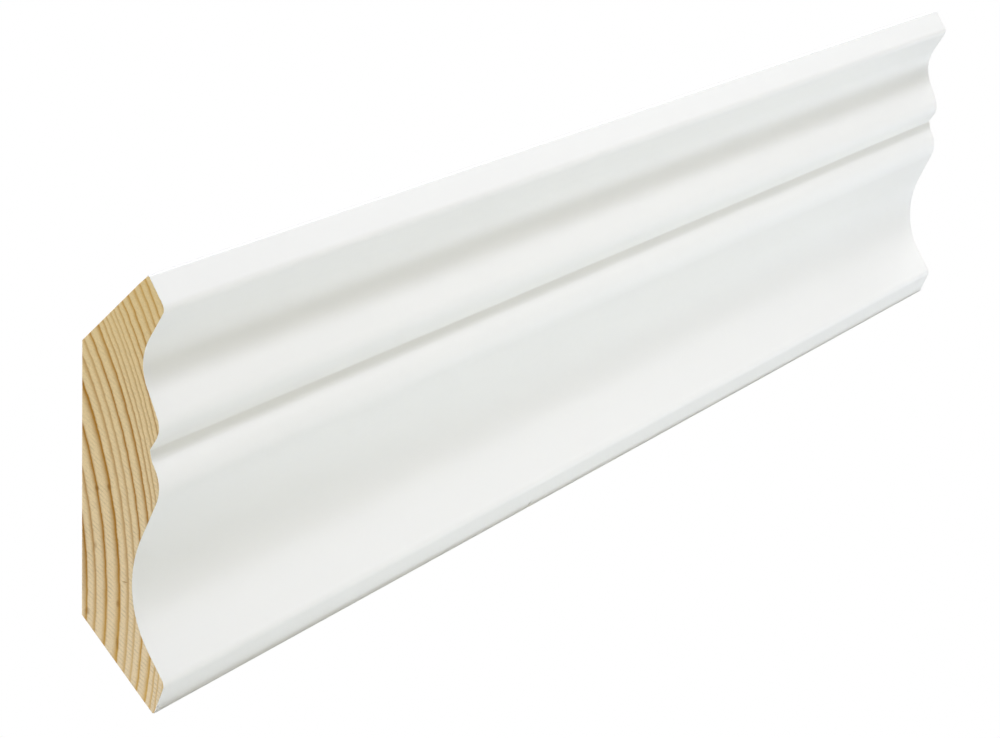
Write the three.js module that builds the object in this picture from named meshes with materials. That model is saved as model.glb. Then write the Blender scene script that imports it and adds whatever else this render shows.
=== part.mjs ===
// Ceiling moulding: one straight length of planed softwood, painted on the room side.
// Millimetres, +Z up, placed as it is fixed. The ceiling face is on top at z = 0 and the wall face
// looks towards +Y, so the moulded face looks down into the room, towards -Y. X runs along the length.

import * as THREE from 'three';

// Driving dimensions. The bevels are the angles from the back to the ceiling and from the back to the wall.
const LENGTH = 450;
const FACE_WIDTH = 95.2;
const BACK_TOP = 78.9;
const BACK_BOTTOM = 18.3;
const CEILING_BEVEL = Math.PI / 4;
const WALL_BEVEL = Math.PI / 2 - CEILING_BEVEL;
const ARRIS_RADIUS = 0.5;
const ARC_DIVISIONS = 8;

// The paint as it shows on the face
const PAINT = { color: 0xf1f1ee, roughness: 0.42, metalness: 0 };

// A swelling turns the outline clockwise on the way down the face, and a hollow turns it back.
const SWELLING = -1;
const HOLLOW = 1;

// The section is drawn with its back upright: "out" is the distance from the back, and "up" is the
// height above the wall edge. These are the circles that the cutter followed, down the moulded face.
const FACE_ROUNDS = {
  upperNose: { out: 18.3, up: 88.6, radius: 2.2, turn: SWELLING },
  upperCove: { out: 27.1, up: 76.2, radius: 11.6, turn: HOLLOW },
  upperBead: { out: 14.15, up: 63.25, radius: 5.4, turn: SWELLING },
  quirk: { out: 18.2, up: 58.05, radius: 0.8, turn: HOLLOW },
  quirkRunout: { out: 21.75, up: 57.3, radius: 4.15, turn: HOLLOW },
  lowerBead: { out: 11.15, up: 50.1, radius: 8.55, turn: SWELLING },
  mainCove: { out: 39.15, up: 27.8, radius: 26.1, turn: HOLLOW },
  lowerNose: { out: 19.05, up: 6.8, radius: 2.2, turn: SWELLING },
};

// A round that eases an outer edge: it touches the bevel that starts on the back, "rise" below or above it.
function arris(up, bevel, rise) {
  const out = ARRIS_RADIUS / Math.cos(bevel) + rise * Math.tan(bevel);
  return { out, up, radius: ARRIS_RADIUS, turn: SWELLING };
}

const CEILING_ARRIS = arris(FACE_WIDTH - ARRIS_RADIUS, CEILING_BEVEL, FACE_WIDTH - ARRIS_RADIUS - BACK_TOP);
const WALL_ARRIS = arris(ARRIS_RADIUS, WALL_BEVEL, BACK_BOTTOM - ARRIS_RADIUS);

// The flat part of the ceiling face starts on the back and ends where the easing begins.
const CEILING_FACE_OUT = CEILING_ARRIS.out - ARRIS_RADIUS * Math.cos(CEILING_BEVEL);
const CEILING_FACE_RISE = CEILING_FACE_OUT / Math.tan(CEILING_BEVEL);

// A sharp corner is a round of no radius.
function corner(out, up) {
  return { out, up, radius: 0, turn: SWELLING };
}

// Direction of the straight stretch that touches two neighbouring rounds.
function headingBetween(from, to) {
  const out = to.out - from.out;
  const up = to.up - from.up;
  const offset = to.turn * to.radius - from.turn * from.radius;
  const straight = Math.sqrt(out * out + up * up - offset * offset);
  return Math.atan2(up, out) - Math.atan2(offset, straight);
}

// Angle on a round, about its own centre, at which the outline has the given heading.
function angleAt(round, heading) {
  return heading - (round.turn * Math.PI) / 2;
}

// Up the flat back, over the ceiling bevel, down the moulded face and back along the wall bevel.
function sectionShape() {
  const backBottom = corner(0, BACK_BOTTOM);
  const backTop = corner(0, BACK_TOP);
  const rounds = [CEILING_ARRIS, ...Object.values(FACE_ROUNDS), WALL_ARRIS];
  const stops = [backTop, ...rounds, backBottom];
  const shape = new THREE.Shape();
  shape.moveTo(backBottom.out, backBottom.up);
  shape.lineTo(backTop.out, backTop.up);
  rounds.forEach((round, index) => {
    const start = angleAt(round, headingBetween(stops[index], round));
    const end = angleAt(round, headingBetween(round, stops[index + 2]));
    shape.absarc(round.out, round.up, round.radius, start, end, round.turn === SWELLING);
  });
  shape.closePath();
  return shape;
}

function moulding() {
  const geometry = new THREE.ExtrudeGeometry(sectionShape(), {
    depth: LENGTH,
    bevelEnabled: false,
    curveSegments: ARC_DIVISIONS,
  });
  const mesh = new THREE.Mesh(geometry, new THREE.MeshStandardMaterial(PAINT));
  mesh.name = 'moulding';

  // Leaned over, so that one bevel lies on the ceiling and the other on the wall.
  const out = new THREE.Vector3(0, -Math.sin(CEILING_BEVEL), -Math.cos(CEILING_BEVEL));
  const up = new THREE.Vector3(0, -Math.cos(CEILING_BEVEL), Math.sin(CEILING_BEVEL));
  const along = new THREE.Vector3().crossVectors(out, up);
  mesh.quaternion.setFromRotationMatrix(new THREE.Matrix4().makeBasis(out, up, along));

  // The origin is the middle of the ceiling face.
  mesh.position
    .addScaledVector(out, -CEILING_FACE_OUT / 2)
    .addScaledVector(up, -BACK_TOP - CEILING_FACE_RISE / 2)
    .addScaledVector(along, -LENGTH / 2);
  return mesh;
}

const part = new THREE.Group();
part.add(moulding());

export default part;
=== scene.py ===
# Looks of the ceiling moulding: one straight length of pine, painted white on the room side.
# Metres, in the frame of the solid: X along the length, +Z up to the ceiling and +Y to the wall.

import math
from collections import namedtuple

import bpy
import numpy as np
from mathutils import Matrix, Quaternion, Vector, geometry, noise


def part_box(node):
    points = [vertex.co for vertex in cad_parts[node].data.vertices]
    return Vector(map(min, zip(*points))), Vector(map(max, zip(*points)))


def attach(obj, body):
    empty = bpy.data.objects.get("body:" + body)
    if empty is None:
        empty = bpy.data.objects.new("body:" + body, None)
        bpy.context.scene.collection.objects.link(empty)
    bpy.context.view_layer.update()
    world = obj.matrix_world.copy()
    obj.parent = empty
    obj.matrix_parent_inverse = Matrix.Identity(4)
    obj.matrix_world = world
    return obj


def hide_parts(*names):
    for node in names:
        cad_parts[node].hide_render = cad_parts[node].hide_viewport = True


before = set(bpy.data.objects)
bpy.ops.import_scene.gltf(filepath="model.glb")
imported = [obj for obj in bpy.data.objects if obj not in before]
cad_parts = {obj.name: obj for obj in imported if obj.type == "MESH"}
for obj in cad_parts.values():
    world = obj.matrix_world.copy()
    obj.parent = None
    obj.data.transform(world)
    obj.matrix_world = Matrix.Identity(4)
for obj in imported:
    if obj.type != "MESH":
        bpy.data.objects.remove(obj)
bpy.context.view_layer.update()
LOW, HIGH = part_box("moulding")
LENGTH = HIGH.x - LOW.x
MM = 0.001

# The section with its back upright, in millimetres: "out" from the back, "up" from the wall edge
FACE_WIDTH = 95.2
BACK_TOP = 78.9
BACK_BOTTOM = 18.3
BEVEL = math.pi / 4
ARRIS_RADIUS = 0.5

# Where the section's zero point lies, from the top and the wall side of the solid
SECTION_ORIGIN = Vector((
    0,
    HIGH.y + BACK_BOTTOM * math.cos(BEVEL) * MM,
    HIGH.z - BACK_TOP * math.sin(BEVEL) * MM,
))

# Circles that the cutter followed down the moulded face, and which way they turn
Round = namedtuple("Round", "out up radius turn")
SWELLING = -1
HOLLOW = 1
FACE_ROUNDS = {
    "upper_nose": Round(18.3, 88.6, 2.2, SWELLING),
    "upper_cove": Round(27.1, 76.2, 11.6, HOLLOW),
    "upper_bead": Round(14.15, 63.25, 5.4, SWELLING),
    "quirk": Round(18.2, 58.05, 0.8, HOLLOW),
    "quirk_runout": Round(21.75, 57.3, 4.15, HOLLOW),
    "lower_bead": Round(11.15, 50.1, 8.55, SWELLING),
    "main_cove": Round(39.15, 27.8, 26.1, HOLLOW),
    "lower_nose": Round(19.05, 6.8, 2.2, SWELLING),
}

# How finely the piece is meshed, in millimetres, and the angle from which an edge is sharp
FACE_STEP = 0.3
BACK_STEP = 0.6
END_STEP = 0.25
SIDE_STEP = 22.5
ROUND_STEP = math.radians(8)
SHARP_ANGLE = math.radians(28)

# Points inside a sawn end, in steps: how far they keep from its rim, and the shift of every other row
RIM_GAP = 0.6
ROW_SHIFT = 0.5

# How Blender fills the rim: triangles inside it alone, and points closer than this are one
FILL_INSIDE = 1
FILL_MERGE = 1e-6

# Order of the materials on the piece
PAINTED, BARE, SAWN = range(3)

# The broken edge round the sawn ends in millimetres, its share of change and features to a millimetre
EDGE_BREAK = 0.12
EDGE_CHANGE = 0.5
EDGE_FEATURES = 3.1
EDGE_SEED = 5

# Saw marks on the ends in millimetres, and the soft wood that lies a little lower than the hard
SAW_PITCH = 0.87
SAW_ANGLE = math.radians(33)
SAW_DEPTH = 0.05
SOFT_DEPTH = 0.03

# How the saw marks are broken up: features to a millimetre across and along them, mean share and change
BREAKS_ACROSS = 1.6
BREAKS_ALONG = 0.3
BREAKS_SEED = 9
BREAKS_MEAN = 0.7
BREAKS_CHANGE = 1.2

# Growth rings in millimetres: the pith lies behind the board, and rings are flatter than true circles
PITH_OUT = -49.2
PITH_UP = 24.1
RING_FLATNESS = 0.704
FIRST_RING = 43.05
RING_WIDTHS = (
    2.4, 2.8, 2.5, 2.2, 2.8, 3.4, 2.2, 1.8, 1.9, 2.5, 1.4, 1.1,
    1.3, 0.9, 1.3, 1.4, 1.7, 1.9, 1.6, 1.6, 1.8, 2.1, 1.9, 2.3,
)
RING_STRENGTHS = (
    0.8, 0.7, 0.9, 1.0, 0.75, 1.0, 1.0, 0.65, 0.6, 1.0, 0.95, 0.7,
    0.6, 0.55, 0.6, 0.8, 0.95, 1.0, 0.8, 0.85, 0.95, 0.8, 0.8, 0.9, 0.8,
)

# The rings' slope along the board, and how far they waver and sway in millimetres.
# The sway grows from the near end on, and it is full after this many metres.
RING_LEAN = 0.012
RING_WAVER = 0.4
RING_SWAY = 5
SWAY_FULL_AT = 0.15

# A ring's dark line: the shares of the ring over which it rises, how steeply, and how it falls in the next
LINE_RISE = (0.45, 0.9)
LINE_STEEPNESS = 1.6
LINE_FALL_SHARE = 0.12
LINE_FALL_FROM = 0.6

# The same for the relief of the ends: share of a ring that is soft wood, and how steeply the rest hardens
SOFT_SHARE = 0.6
HARDENING = 1.5

# Resin that has bled into the near end: out, up, half its width and height, and strength
RESIN_SPOTS = (
    (3.9, 47.4, 0.7, 1.0, 0.9),
    (7.0, 48.2, 0.7, 1.0, 0.9),
    (9.4, 22.8, 0.7, 1.3, 0.6),
    (9.2, 13.9, 0.5, 2.2, 0.5),
    (3.5, 34.7, 0.6, 1.2, 0.35),
    (1.4, 19.5, 0.9, 1.2, 0.5),
    (0.5, 30.7, 1.2, 14.0, 0.3),
    (11.1, 28.0, 0.9, 0.2, 0.8),
)
RESIN_DEPTH = 11.0
RESIN_CORE = 0.2

# A small dent in the lower edge, in millimetres: its place along the length and up, its reach and depth
DENT_ALONG = -57.0
DENT_UP = 0.8
DENT_REACH = 0.9
DENT_DEPTH = 0.5

# How the dent falls off and is meshed, in reaches, and how far it keeps from the back, in millimetres
DENT_FALLOFF = 1.6
DENT_LIMIT = 3
DENT_SPAN = 1.5
DENT_STATIONS = 13
DENT_FROM_BACK = 1

# Noise in the materials: features to a metre along the length, out and up, then detail and roughness
NOISES = {
    "paint_drift": ((9, 60, 60), 2, 0.5),
    "paint_skin": ((900, 1400, 1400), 3, 0.5),
    "paint_streaks": ((12, 900, 900), 2, 0.5),
    "paint_edge": ((260, 500, 500), 4, 0.65),
    "ring_sway": ((7, 40, 40), 2, 0.5),
    "ring_waver": ((25, 420, 420), 2, 0.5),
    "saw_breaks": ((0, 500, 330), 2, 0.5),
    "end_speckle": ((300, 3600, 3600), 3, 0.7),
    "end_fibres": ((200, 5200, 5200), 2, 0.5),
    "side_drift": ((3, 240, 240), 2, 0.5),
    "side_fibres": ((28, 2600, 2600), 3, 0.6),
    "side_ducts": ((110, 4200, 4200), 1, 0.5),
}
NOISE_MEAN = 0.5
NOISE_RANGE = (0.3, 0.7)

# Paint: roughness, bump as strength and millimetres, and how much long streaks add to it
PAINT_ROUGHNESS = (0.4, 0.5)
PAINT_BUMP = (0.25, 0.02)
STREAK_RELIEF = 0.6

# Paint that has run over onto the bevels, in millimetres, and how ragged its edge is
PAINT_RUN = 1.4
PAINT_RAGGEDNESS = 2.4

# Sawn ends: roughness of soft and of hard wood, gloss and bump
END_ROUGHNESS = (0.85, 0.62)
END_GLOSS = 0.2
END_BUMP = (0.35, 0.06)

# Sawn ends: height at which the hard lines are darkest, and how far from it they start and end to pale
DARKEST_UP = 51.7
PALING_REACH = (18, 48)

# Sawn ends: values between which painted shade in the saw grooves comes to show, and its share at two heights
# in millimetres
GROOVE_SHADE_WAVE = (0.1, -0.9)
GROOVE_SHADE_BREAKS = (0.35, 0.65)
GROOVE_SHADE_HEIGHTS = (35, 85)
GROOVE_SHADE_SHARES = (0.34, 0.1)

# Sawn ends: noise and tones of the speckle
SPECKLE_RANGE = (0.25, 0.75)
SPECKLE_TONES = (0.86, 1.1)

# Planed sides: roughness, gloss and bump
SIDE_ROUGHNESS = (0.5, 0.68)
SIDE_GLOSS = 0.3
SIDE_BUMP = (0.4, 0.05)

# Planed sides: ring lines, tones of the fibres, resin ducts, knife marks in millimetres, and relief
SIDE_LINE_SHARE = 0.8
FIBRE_TONES = (0.93, 1.04)
DUCT_RANGE = (0.66, 0.76)
DUCT_SHARE = 0.45
KNIFE_PITCH = 1.9
KNIFE_RELIEF = 0.12
LINE_RELIEF = 0.5

# Colours, as 8-bit values on screen
END_EARLY_LOW = (232, 212, 176)
END_EARLY_HIGH = (223, 199, 146)
END_LATE_PALE = (204, 163, 84)
END_LATE_DARK = (162, 114, 27)
# Painted shade for the dark sides of the saw grooves on the ends
SAW_GROOVE_SHADE = (150, 140, 118)
SIDE_EARLY_LIGHT = (226, 200, 154)
SIDE_EARLY_DARK = (217, 187, 140)
SIDE_LATE = (186, 135, 72)
RESIN = (142, 98, 28)
PAINT_LIGHT = (240, 240, 238)
PAINT_DARK = (238, 238, 236)
FLOOR_COLOUR = (236, 236, 235)
BLACK = (0, 0, 0)

# The photograph's view
CAMERA_PLACE = (-0.71735, -0.36158, -0.13585)
CAMERA_AZIMUTH = math.radians(-58.975)
CAMERA_ELEVATION = math.radians(-7.310)
CAMERA_ROLL = math.radians(-36.727)
CAMERA_LENS = 108.83
CAMERA_SENSOR = 36.0
CAMERA_CLIP = 0.01

# The floor that shows, which is evenly bright and throws no light on the moulding
FLOOR_RADIUS = 10.0
FLOOR_DROP = 0.85
FLOOR_SIDES = 180

# A white board above it, out of sight, that throws light back up
BOARD_RADIUS = 8.5
BOARD_DROP = 0.8
BOARD_SIDES = 4
BOARD_COLOUR = (250, 250, 250)

# A narrow grey card out of sight under the lower edge, in millimetres of the section
CARD_OUT = (17.5, 20.3)
CARD_UP = -0.35
CARD_COLOUR = (145, 145, 145)
SHEET_ROUGHNESS = 0.9

# Soft boxes: angle in the section in degrees, metres along the length and away from it, size, watts, colour
LIGHTS = {
    "top": (75, 0.0, 1.2, (0.25, 0.8), 11.9, (0.87, 0.89, 1.0)),
    "front": (0, 0.0, 1.2, (0.6, 0.9), 10.1, (1.0, 0.96, 0.71)),
    "low": (-60, 0.8, 0.89, (0.6, 0.9), 7.0, (0.82, 0.91, 1.0)),
    "far_top": (90, 0.69, 0.98, (0.25, 0.8), 1.9, (1.0, 1.0, 1.0)),
    "far_low": (-30, 1.1, 0.6, (0.6, 0.6), 2.2, (0.76, 0.82, 1.0)),
    "far_behind": (120, 1.1, 0.6, (0.6, 0.6), 10.8, (1.0, 1.0, 1.0)),
}
AMBIENT = 0.05

# Soft boxes that light the moulding alone and not the floor, given in the same way
PIECE_LIGHTS = {
    "near_end": (180, -1.2, 0.35, (0.6, 0.6), 9.2, (1.0, 1.0, 1.0)),
    "behind": (180, 0.0, 1.2, (0.8, 0.9), 11.0, (1.0, 1.0, 1.0)),
}


# Section of the moulding

def heading_between(start, end):
    """Direction of the straight stretch that touches two neighbouring rounds."""
    out = end.out - start.out
    up = end.up - start.up
    offset = end.turn * end.radius - start.turn * start.radius
    straight = math.sqrt(out * out + up * up - offset * offset)
    return math.atan2(up, out) - math.atan2(offset, straight)


def point_on(round_, heading):
    """Point of a round at which the outline has the given heading."""
    out, up, radius, turn = round_
    return (out + turn * radius * math.sin(heading), up - turn * radius * math.cos(heading))


def divided(start, end, step):
    """Points from start up to, but without, end, no further apart than step."""
    count = max(1, math.ceil(math.dist(start, end) / step))
    return [tuple(np.array(start) + (np.array(end) - start) * i / count) for i in range(count)]


def arc(round_, start, end, step):
    """Points of a round from one heading to another, both included."""
    turn = round_.turn
    sweep = turn * (turn * (end - start) % math.tau)
    count = max(2, math.ceil(abs(sweep) / min(ROUND_STEP, step / round_.radius)))
    return [point_on(round_, start + sweep * i / count) for i in range(count + 1)]


def arris(up, rise):
    """The round that eases an outer edge. It touches a bevel that starts on the back, "rise" away."""
    return Round(ARRIS_RADIUS / math.cos(BEVEL) + rise * math.tan(BEVEL), up, ARRIS_RADIUS, SWELLING)


def section_paths():
    """The painted stretch, from bevel to bevel over both arrises, and the bare stretch back to its start."""
    ceiling_arris = arris(FACE_WIDTH - ARRIS_RADIUS, FACE_WIDTH - ARRIS_RADIUS - BACK_TOP)
    wall_arris = arris(ARRIS_RADIUS, BACK_BOTTOM - ARRIS_RADIUS)
    back_top = Round(0.0, BACK_TOP, 0.0, SWELLING)
    back_bottom = Round(0.0, BACK_BOTTOM, 0.0, SWELLING)
    stops = [back_top, ceiling_arris, *FACE_ROUNDS.values(), wall_arris, back_bottom]
    face = []
    for before, here, after in zip(stops, stops[1:], stops[2:]):
        bend = arc(here, heading_between(before, here), heading_between(here, after), FACE_STEP)
        if face:
            face += divided(face[-1], bend[0], FACE_STEP)[1:]
        face += bend
    bare = divided(face[-1], back_bottom[:2], BACK_STEP)[1:]
    bare += divided(back_bottom[:2], back_top[:2], BACK_STEP)
    bare += divided(back_top[:2], face[0], BACK_STEP)
    return np.array(face), np.array(bare)


def outward(loop):
    """Unit normals of a closed clockwise outline."""
    along = np.roll(loop, -1, axis=0) - np.roll(loop, 1, axis=0)
    normals = np.stack([-along[:, 1], along[:, 0]], axis=1)
    return normals / np.linalg.norm(normals, axis=1, keepdims=True)


# Growth rings

RING_LINES = FIRST_RING + np.concatenate([[0.0], np.cumsum(RING_WIDTHS)])


def ring_distance(out, up):
    """Distance from the pith in millimetres, measured as the rings run."""
    return np.hypot(out - PITH_OUT, (up - PITH_UP) * RING_FLATNESS)


def hardness(out, up):
    """How far a point of the section is from soft wood, 0, to the hard line that ends a ring, 1."""
    number = np.interp(ring_distance(out, up), RING_LINES, np.arange(len(RING_LINES)))
    return np.clip((number % 1 - SOFT_SHARE) / (1 - SOFT_SHARE), 0, 1) ** HARDENING


# Mesh of the moulding

def end_relief(points, along):
    """How far each point of a sawn end lies behind the foremost one, in millimetres."""
    out, up = points.T
    across = out * math.sin(SAW_ANGLE) + up * math.cos(SAW_ANGLE)
    stroke = out * math.cos(SAW_ANGLE) - up * math.sin(SAW_ANGLE)
    spots = zip(across * BREAKS_ACROSS, stroke * BREAKS_ALONG)
    broken = np.array([noise.noise((a, s, along + BREAKS_SEED)) for a, s in spots])
    saw = 0.5 - 0.5 * np.cos(math.tau * across / SAW_PITCH)
    saw *= np.clip(BREAKS_MEAN + BREAKS_CHANGE * broken, 0, 1)
    return SAW_DEPTH * saw + SOFT_DEPTH * (1 - hardness(out, up))


def end_triangles(rim):
    """Points and triangles that fill a sawn end inside its rim. The rim's own points come first."""
    low, high = rim.min(axis=0), rim.max(axis=0)
    here, after = rim, np.roll(rim, -1, axis=0)
    inside = []
    for number, up in enumerate(np.arange(low[1] + END_STEP / 2, high[1], END_STEP * math.sqrt(3) / 2)):
        cut = (here[:, 1] - up) * (after[:, 1] - up) < 0
        share = (up - here[cut, 1]) / (after[cut, 1] - here[cut, 1])
        ends = here[cut, 0] + share * (after[cut, 0] - here[cut, 0])
        start = ends.min() + END_STEP * (RIM_GAP + ROW_SHIFT * (number % 2))
        inside += [(out, up) for out in np.arange(start, ends.max() - END_STEP * RIM_GAP, END_STEP)]
    points = [Vector(p) for p in np.concatenate([rim, np.array(inside)])]
    edges = [(i, (i + 1) % len(rim)) for i in range(len(rim))]
    made = geometry.delaunay_2d_cdt(points, edges, [], FILL_INSIDE, FILL_MERGE)
    return np.array(made[0]), [tuple(f) for f in made[2]]


def stations():
    """Places along the length where the mesh has a ring of points, closer at the dent."""
    half = LENGTH / MM / 2 - EDGE_BREAK
    places = list(np.linspace(-half, half, round(2 * half / SIDE_STEP) + 1))
    places += [DENT_ALONG + DENT_REACH * share for share in np.linspace(-DENT_SPAN, DENT_SPAN, DENT_STATIONS)]
    return sorted(places)


def dented(along, loop, normals):
    """The outline at a place along the length, pushed in where the edge has its dent."""
    away = np.hypot(along - DENT_ALONG, (loop[:, 1] - DENT_UP))
    near = (away < DENT_LIMIT * DENT_REACH) & (loop[:, 0] > DENT_FROM_BACK)
    push = np.where(near, DENT_DEPTH * np.exp(-((away / DENT_REACH * DENT_FALLOFF) ** 2)), 0)
    return loop - normals * push[:, None]


def end_rim(loop, normals):
    """The outline of a sawn end, drawn in a little and unevenly by its broken edge."""
    places = loop * EDGE_FEATURES
    rough = np.array([noise.noise((out, up, EDGE_SEED)) for out, up in places])
    return loop - normals * (EDGE_BREAK * (1 + EDGE_CHANGE * rough))[:, None]


def moulding_mesh():
    """The whole moulding as one closed mesh. It is made upright, with Y to the back, and then leaned over."""
    face, bare = section_paths()
    loop = np.concatenate([face, bare])
    normals = outward(loop)
    count = len(loop)
    verts, faces, finishes = [], [], []

    def add_points(along, points):
        start = len(verts)
        spread = np.broadcast_to(along, len(points))
        verts.extend((x * MM, -out * MM, up * MM) for x, (out, up) in zip(spread, points))
        return start

    def add_band(first, second):
        for i in range(count):
            j = (i + 1) % count
            faces.append((first + i, first + j, second + j, second + i))
            finishes.append(PAINTED if i < len(face) - 1 else BARE)

    rings = [add_points(along, dented(along, loop, normals)) for along in stations()]
    for first, second in zip(rings, rings[1:]):
        add_band(first, second)

    points, triangles = end_triangles(end_rim(loop, normals))
    for side, ring in ((-1, rings[0]), (1, rings[-1])):
        end = side * LENGTH / MM / 2
        depth = end_relief(points, end)
        start = add_points(end - side * depth, points)
        if side < 0:
            add_band(start, ring)
        else:
            add_band(ring, start)
        for a, b, c in triangles:
            faces.append((start + a, start + b, start + c)[::-side])
            finishes.append(SAWN)

    mesh = bpy.data.meshes.new("moulding_body")
    mesh.from_pydata(verts, [], faces)
    mesh.transform(Matrix.Translation(SECTION_ORIGIN) @ Matrix.Rotation(BEVEL, 4, "X"))
    mesh.polygons.foreach_set("material_index", finishes)
    mesh.shade_smooth()
    mesh.set_sharp_from_angle(angle=SHARP_ANGLE)
    mesh.update()
    return mesh


# Shader nodes

def linear(colour):
    """An 8-bit screen colour as the linear colour that a shader takes."""
    parts = [c / 255 for c in colour]
    return [p / 12.92 if p <= 0.04045 else ((p + 0.055) / 1.055) ** 2.4 for p in parts] + [1.0]


def node(tree, kind, sockets=None, **settings):
    """A shader node with its settings, and with its sockets set or linked."""
    made = tree.nodes.new("ShaderNode" + kind)
    for name, value in settings.items():
        setattr(made, name, value)
    for key, value in (sockets or {}).items():
        if isinstance(value, bpy.types.NodeSocket):
            tree.links.new(value, made.inputs[key])
        else:
            made.inputs[key].default_value = value
    return made


def maths(tree, operation, first, second=0.0, third=0.0, clamp=False):
    """What comes of an operation on up to three values."""
    sockets = {0: first, 1: second, 2: third}
    return node(tree, "Math", sockets, operation=operation, use_clamp=clamp).outputs[0]


def vector_maths(tree, operation, first, second=(0.0, 0.0, 0.0)):
    """What comes of an operation on up to two vectors: a vector, or a value for lengths and dot products."""
    made = node(tree, "VectorMath", {0: first, 1: second}, operation=operation)
    return made.outputs["Value" if operation in ("LENGTH", "DOT_PRODUCT") else "Vector"]


def along_length(tree, place):
    """How far a place is from the middle of the length."""
    return node(tree, "SeparateXYZ", {0: place}).outputs["X"]


def height_up(tree, place):
    """How high a place is above the wall edge, with the back upright."""
    return node(tree, "SeparateXYZ", {0: place}).outputs["Z"]


def mixed(tree, share, first, second, blend="MIX"):
    """Two colours mixed by a share."""
    sockets = {0: share, 6: first, 7: second}
    return node(tree, "Mix", sockets, data_type="RGBA", blend_type=blend).outputs[2]


def toned(tree, colour, tone):
    """A colour made lighter or darker by a factor."""
    shade = node(tree, "CombineXYZ", {0: tone, 1: tone, 2: tone}).outputs[0]
    return mixed(tree, 1.0, colour, shade, "MULTIPLY")


def ranged(tree, value, low, high, to_low=0.0, to_high=1.0, smooth=False):
    """A value mapped from one range to another, held at the ends."""
    kind = "SMOOTHSTEP" if smooth else "LINEAR"
    sockets = {0: value, 1: low, 2: high, 3: to_low, 4: to_high}
    return node(tree, "MapRange", sockets, interpolation_type=kind).outputs[0]


def clouds(tree, place, name):
    """One of the kinds of noise, from 0 to 1."""
    scale, detail, roughness = NOISES[name]
    stretched = vector_maths(tree, "MULTIPLY", place, scale)
    sockets = {"Vector": stretched, "Scale": 1.0, "Detail": detail, "Roughness": roughness}
    return node(tree, "TexNoise", sockets).outputs[0]


def stray(tree, place, name):
    """One of the kinds of noise, to either side of zero."""
    return maths(tree, "SUBTRACT", clouds(tree, place, name), NOISE_MEAN)


def curve(tree, value, points):
    """A value mapped through straight lines between points, all from 0 to 1."""
    made = node(tree, "FloatCurve", {"Value": value})
    line = made.mapping.curves[0].points
    for place in points[1:-1]:
        line.new(*place)
    for point, place in zip(line, points):
        point.location = place
        point.handle_type = "VECTOR"
    made.mapping.update()
    return made.outputs[0]


def new_material(name):
    """A material with one shader."""
    material = bpy.data.materials.new(name)
    material.use_nodes = True
    tree = material.node_tree
    tree.nodes.clear()
    shader = node(tree, "BsdfPrincipled")
    node(tree, "OutputMaterial", {"Surface": shader.outputs[0]})
    return material, tree, shader


def upright_place(tree):
    """The place of each point on the piece, in the frame in which its back is upright."""
    point = node(tree, "TexCoord").outputs["Object"]
    upright = {"Vector": point, "Location": SECTION_ORIGIN, "Rotation": (BEVEL, 0, 0)}
    return node(tree, "Mapping", upright, vector_type="TEXTURE").outputs[0]


def dress(tree, shader, colour, roughness, height, bump):
    """Gives a shader its colour, roughness and relief."""
    strength, depth = bump
    relief = node(tree, "Bump", {"Strength": strength, "Distance": depth * MM, "Height": height})
    tree.links.new(colour, shader.inputs["Base Color"])
    tree.links.new(roughness, shader.inputs["Roughness"])
    tree.links.new(relief.outputs[0], shader.inputs["Normal"])


# Materials

def paint():
    """Satin white paint: nearly even, with a faint drift of tone and the fine skin of a sprayed coat."""
    material, tree, shader = new_material("white_paint")
    place = upright_place(tree)
    drift = clouds(tree, place, "paint_drift")
    colour = mixed(tree, drift, linear(PAINT_LIGHT), linear(PAINT_DARK))
    skin = clouds(tree, place, "paint_skin")
    roughness = ranged(tree, skin, *NOISE_RANGE, *PAINT_ROUGHNESS)
    height = maths(tree, "MULTIPLY_ADD", clouds(tree, place, "paint_streaks"), STREAK_RELIEF, skin)
    dress(tree, shader, colour, roughness, height, PAINT_BUMP)
    return material


def pine_distance(tree, place):
    """Distance from the pith in millimetres as the rings run, with their lean and the ways they stray."""
    from_end = maths(tree, "ADD", along_length(tree, place), LENGTH / 2)
    scaled = vector_maths(tree, "MULTIPLY", place, (0.0, 1 / MM, RING_FLATNESS / MM))
    centred = vector_maths(tree, "ADD", scaled, (0.0, PITH_OUT, -PITH_UP * RING_FLATNESS))
    distance = vector_maths(tree, "LENGTH", centred)
    distance = maths(tree, "MULTIPLY_ADD", from_end, RING_LEAN / MM, distance)
    reach = ranged(tree, from_end, 0, SWAY_FULL_AT, 0, RING_SWAY)
    swayed = maths(tree, "MULTIPLY", stray(tree, place, "ring_sway"), reach)
    strayed = maths(tree, "MULTIPLY_ADD", stray(tree, place, "ring_waver"), RING_WAVER, swayed)
    return maths(tree, "ADD", distance, strayed)


def pine_rings(tree, place):
    """How dark the growth rings make each point, from the soft wood, 0, to a full hard line, 1."""
    first, last = RING_LINES[0], RING_LINES[-1]
    share = ranged(tree, pine_distance(tree, place), first, last)
    steps = len(RING_LINES) - 1
    places = (RING_LINES - first) / (last - first)
    number = curve(tree, share, [(p, i / steps) for i, p in enumerate(places)])
    phase = maths(tree, "FRACT", maths(tree, "MULTIPLY", number, steps))
    strength = curve(tree, share, list(zip(places, RING_STRENGTHS)))
    rising = maths(tree, "POWER", ranged(tree, phase, *LINE_RISE), LINE_STEEPNESS)
    falling = ranged(tree, phase, 0.0, LINE_FALL_SHARE, LINE_FALL_FROM, 0.0)
    line = maths(tree, "MAXIMUM", rising, falling)
    return maths(tree, "MULTIPLY", line, strength)


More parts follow.
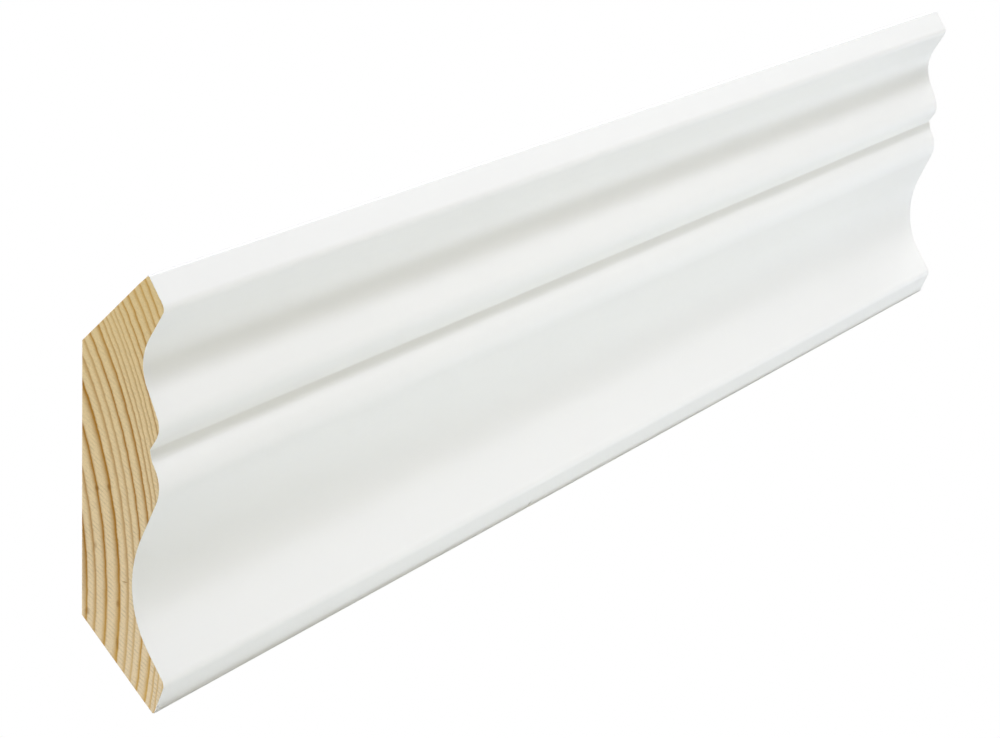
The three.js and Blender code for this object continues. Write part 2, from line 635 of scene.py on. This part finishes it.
def painted_groove_shade(tree, place):
    """Painted shade in the fine grooves that the saw left across the end, broken up, from 0 to 1."""
    slant = (0, -math.sin(SAW_ANGLE), math.cos(SAW_ANGLE))
    across = vector_maths(tree, "DOT_PRODUCT", place, slant)
    wave = maths(tree, "COSINE", maths(tree, "MULTIPLY", across, math.tau / SAW_PITCH / MM))
    broken = ranged(tree, clouds(tree, place, "saw_breaks"), *GROOVE_SHADE_BREAKS)
    return maths(tree, "MULTIPLY", ranged(tree, wave, *GROOVE_SHADE_WAVE), broken)


def resin_spots(tree, place):
    """Resin that has bled into a few places of the near end, from 0 to 1."""
    total = 0.0
    for out, up, half_width, half_height, strength in RESIN_SPOTS:
        away = vector_maths(tree, "SUBTRACT", place, (-LENGTH / 2, -out * MM, up * MM))
        reach = (RESIN_DEPTH * MM, half_width * MM, half_height * MM)
        distance = vector_maths(tree, "LENGTH", vector_maths(tree, "DIVIDE", away, reach))
        spot = ranged(tree, distance, 1.0, RESIN_CORE, 0.0, strength, smooth=True)
        total = maths(tree, "MAXIMUM", total, spot)
    return total


def end_wood(tree, place, rings):
    """Colour of the wood on a sawn end. Its hard lines are darkest at one height and pale away from it."""
    up = height_up(tree, place)
    height = ranged(tree, up, 0.0, FACE_WIDTH * MM)
    soft = mixed(tree, height, linear(END_EARLY_LOW), linear(END_EARLY_HIGH))
    from_darkest = maths(tree, "ABSOLUTE", maths(tree, "SUBTRACT", up, DARKEST_UP * MM))
    paling = ranged(tree, from_darkest, *(reach * MM for reach in PALING_REACH))
    hard = mixed(tree, paling, linear(END_LATE_DARK), linear(END_LATE_PALE))
    return mixed(tree, rings, soft, hard)


def pine_end():
    """Sawn end grain: rings in section, painted shade in the fine grooves of the saw and a few resin spots.
    """
    material, tree, shader = new_material("pine_end_grain")
    place = upright_place(tree)
    rings = pine_rings(tree, place)
    colour = mixed(tree, resin_spots(tree, place), end_wood(tree, place, rings), linear(RESIN))
    softness = maths(tree, "SUBTRACT", 1.0, rings, clamp=True)
    # Painted shade in the saw grooves, on the soft wood only and less of it higher up
    grey = maths(tree, "MULTIPLY", painted_groove_shade(tree, place), softness)
    heights = (height * MM for height in GROOVE_SHADE_HEIGHTS)
    fading = ranged(tree, height_up(tree, place), *heights, *GROOVE_SHADE_SHARES)
    colour = mixed(tree, maths(tree, "MULTIPLY", grey, fading), colour, linear(SAW_GROOVE_SHADE))
    speckle = ranged(tree, clouds(tree, place, "end_speckle"), *SPECKLE_RANGE, *SPECKLE_TONES)
    roughness = ranged(tree, rings, 0, 1, *END_ROUGHNESS)
    fibres = clouds(tree, place, "end_fibres")
    dress(tree, shader, toned(tree, colour, speckle), roughness, fibres, END_BUMP)
    shader.inputs["Specular IOR Level"].default_value = END_GLOSS
    return material


def paint_edge(tree, place):
    """Where the paint of the face has run over the arrises onto the bevels, with a ragged edge."""
    from_middle = maths(tree, "SUBTRACT", height_up(tree, place), FACE_WIDTH * MM / 2)
    from_middle = maths(tree, "ABSOLUTE", from_middle)
    ragged = stray(tree, place, "paint_edge")
    reach = maths(tree, "MULTIPLY_ADD", ragged, PAINT_RAGGEDNESS * MM, from_middle)
    edge = (FACE_WIDTH / 2 - ARRIS_RADIUS * (1 - math.sin(BEVEL))) * MM
    return ranged(tree, reach, edge - PAINT_RUN * MM, edge - PAINT_RUN * MM / 2)


def pine_side():
    """Planed pine along the grain: ring lines drawn out, fibres, short resin ducts and paint at the edges."""
    material, tree, shader = new_material("pine_long_grain")
    place = upright_place(tree)
    rings = pine_rings(tree, place)
    drift = clouds(tree, place, "side_drift")
    soft = mixed(tree, drift, linear(SIDE_EARLY_LIGHT), linear(SIDE_EARLY_DARK))
    colour = mixed(tree, maths(tree, "MULTIPLY", rings, SIDE_LINE_SHARE), soft, linear(SIDE_LATE))
    fibres = clouds(tree, place, "side_fibres")
    colour = toned(tree, colour, ranged(tree, fibres, *NOISE_RANGE, *FIBRE_TONES))
    ducts = ranged(tree, clouds(tree, place, "side_ducts"), *DUCT_RANGE, 0.0, DUCT_SHARE)
    colour = mixed(tree, ducts, colour, linear(RESIN))
    colour = mixed(tree, paint_edge(tree, place), colour, linear(PAINT_DARK))
    roughness = ranged(tree, fibres, *NOISE_RANGE, *SIDE_ROUGHNESS)
    turn = maths(tree, "MULTIPLY", along_length(tree, place), math.tau / KNIFE_PITCH / MM)
    height = maths(tree, "MULTIPLY_ADD", maths(tree, "SINE", turn), KNIFE_RELIEF, fibres)
    height = maths(tree, "MULTIPLY_ADD", rings, LINE_RELIEF, height)
    dress(tree, shader, colour, roughness, height, SIDE_BUMP)
    shader.inputs["Specular IOR Level"].default_value = SIDE_GLOSS
    return material


# The piece in its place

def make_moulding():
    """The moulding with its materials, in the order in which its faces name them."""
    piece = bpy.data.objects.new("moulding_body", moulding_mesh())
    bpy.context.scene.collection.objects.link(piece)
    for material in (paint(), pine_side(), pine_end()):
        piece.data.materials.append(material)
    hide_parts("moulding")
    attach(piece, "root")
    return piece


# Stage

def make_camera():
    """The camera at the photograph's place and angle."""
    camera = bpy.data.objects.new("camera", bpy.data.cameras.new("camera"))
    bpy.context.scene.collection.objects.link(camera)
    camera.data.lens = CAMERA_LENS
    camera.data.sensor_width = CAMERA_SENSOR
    camera.data.clip_start = CAMERA_CLIP
    flat = math.cos(CAMERA_ELEVATION)
    back = Vector((
        math.sin(CAMERA_AZIMUTH) * flat,
        -math.cos(CAMERA_AZIMUTH) * flat,
        math.sin(CAMERA_ELEVATION),
    ))
    camera.location = CAMERA_PLACE
    camera.rotation_mode = "QUATERNION"
    camera.rotation_quaternion = (-back).to_track_quat("-Z", "Y") @ Quaternion((0, 0, 1), CAMERA_ROLL)
    bpy.context.scene.camera = camera


def stage_sheet(name, corners, colour):
    """A flat sheet of one plain colour that belongs to the stage, and its shader."""
    mesh = bpy.data.meshes.new(name)
    mesh.from_pydata(corners, [], [range(len(corners))])
    sheet = bpy.data.objects.new(name, mesh)
    bpy.context.scene.collection.objects.link(sheet)
    material, _, shader = new_material(name + "_plain")
    shader.inputs["Base Color"].default_value = linear(colour)
    shader.inputs["Roughness"].default_value = SHEET_ROUGHNESS
    mesh.materials.append(material)
    return sheet, shader


def level_corners(radius, drop, sides):
    """Corners of a level sheet with equal sides below the moulding, turned by half a side."""
    turns = [math.tau * (side + 0.5) / sides for side in range(sides)]
    return [(radius * math.cos(turn), radius * math.sin(turn), LOW.z - drop) for turn in turns]


def make_floor():
    """The pale floor that shows."""
    floor, shader = stage_sheet("floor", level_corners(FLOOR_RADIUS, FLOOR_DROP, FLOOR_SIDES), BLACK)
    shader.inputs["Specular IOR Level"].default_value = 0.0
    shader.inputs["Emission Color"].default_value = linear(FLOOR_COLOUR)
    shader.inputs["Emission Strength"].default_value = 1.0
    floor.visible_diffuse = False
    floor.visible_glossy = False


def make_board():
    """The board that lights the moulding from below."""
    board, _ = stage_sheet("board", level_corners(BOARD_RADIUS, BOARD_DROP, BOARD_SIDES), BOARD_COLOUR)
    board.visible_camera = False


def in_section(angle):
    """Direction in the section at an angle that is 0 straight out from the back and grows towards the top."""
    out, up = Vector((0, -1, -1)).normalized(), Vector((0, -1, 1)).normalized()
    return out * math.cos(angle) + up * math.sin(angle)


def make_card():
    """The card that keeps light off the lower edge, so that it stands out as it does in the photograph."""
    level = SECTION_ORIGIN + in_section(math.radians(90)) * CARD_UP * MM
    near, far = (level + in_section(0.0) * out * MM for out in CARD_OUT)
    ends = [(LOW.x, near), (HIGH.x, near), (HIGH.x, far), (LOW.x, far)]
    card, _ = stage_sheet("card", [(x, place.y, place.z) for x, place in ends], CARD_COLOUR)
    card.visible_camera = False


def make_light(name, angle, along, distance, size, power, colour):
    """A soft box that looks at the middle of the moulding. Its size is given across and along the length."""
    middle = (LOW + HIGH) / 2
    data = bpy.data.lights.new(name, "AREA")
    data.shape = "RECTANGLE"
    data.size, data.size_y = size
    data.energy = power
    data.color = colour
    light = bpy.data.objects.new(name, data)
    bpy.context.scene.collection.objects.link(light)
    away = in_section(math.radians(angle)) * distance + Vector((along, 0, 0))
    light.location = middle + away
    light.rotation_mode = "QUATERNION"
    light.rotation_quaternion = (-away).to_track_quat("-Z", "X")
    light.visible_camera = False
    return light


def make_lights(piece):
    """All soft boxes, some of which light the piece alone."""
    for name, setting in LIGHTS.items():
        make_light(name, *setting)
    lit_alone = bpy.data.collections.new("lit_alone")
    lit_alone.objects.link(piece)
    for name, setting in PIECE_LIGHTS.items():
        make_light(name, *setting).light_linking.receiver_collection = lit_alone


def make_world():
    """A white surround for the camera that only gives a little light of its own."""
    world = bpy.data.worlds.new("studio")
    bpy.context.scene.world = world
    world.use_nodes = True
    tree = world.node_tree
    background = tree.nodes["Background"]
    background.inputs["Color"].default_value = (1, 1, 1, 1)
    seen = node(tree, "LightPath").outputs["Is Camera Ray"]
    tree.links.new(ranged(tree, seen, 0, 1, AMBIENT, 1), background.inputs["Strength"])


make_camera()
moulding = make_moulding()
make_floor()
make_board()
make_card()
make_world()
make_lights(moulding)
bpy.context.scene.view_settings.view_transform = "Standard"
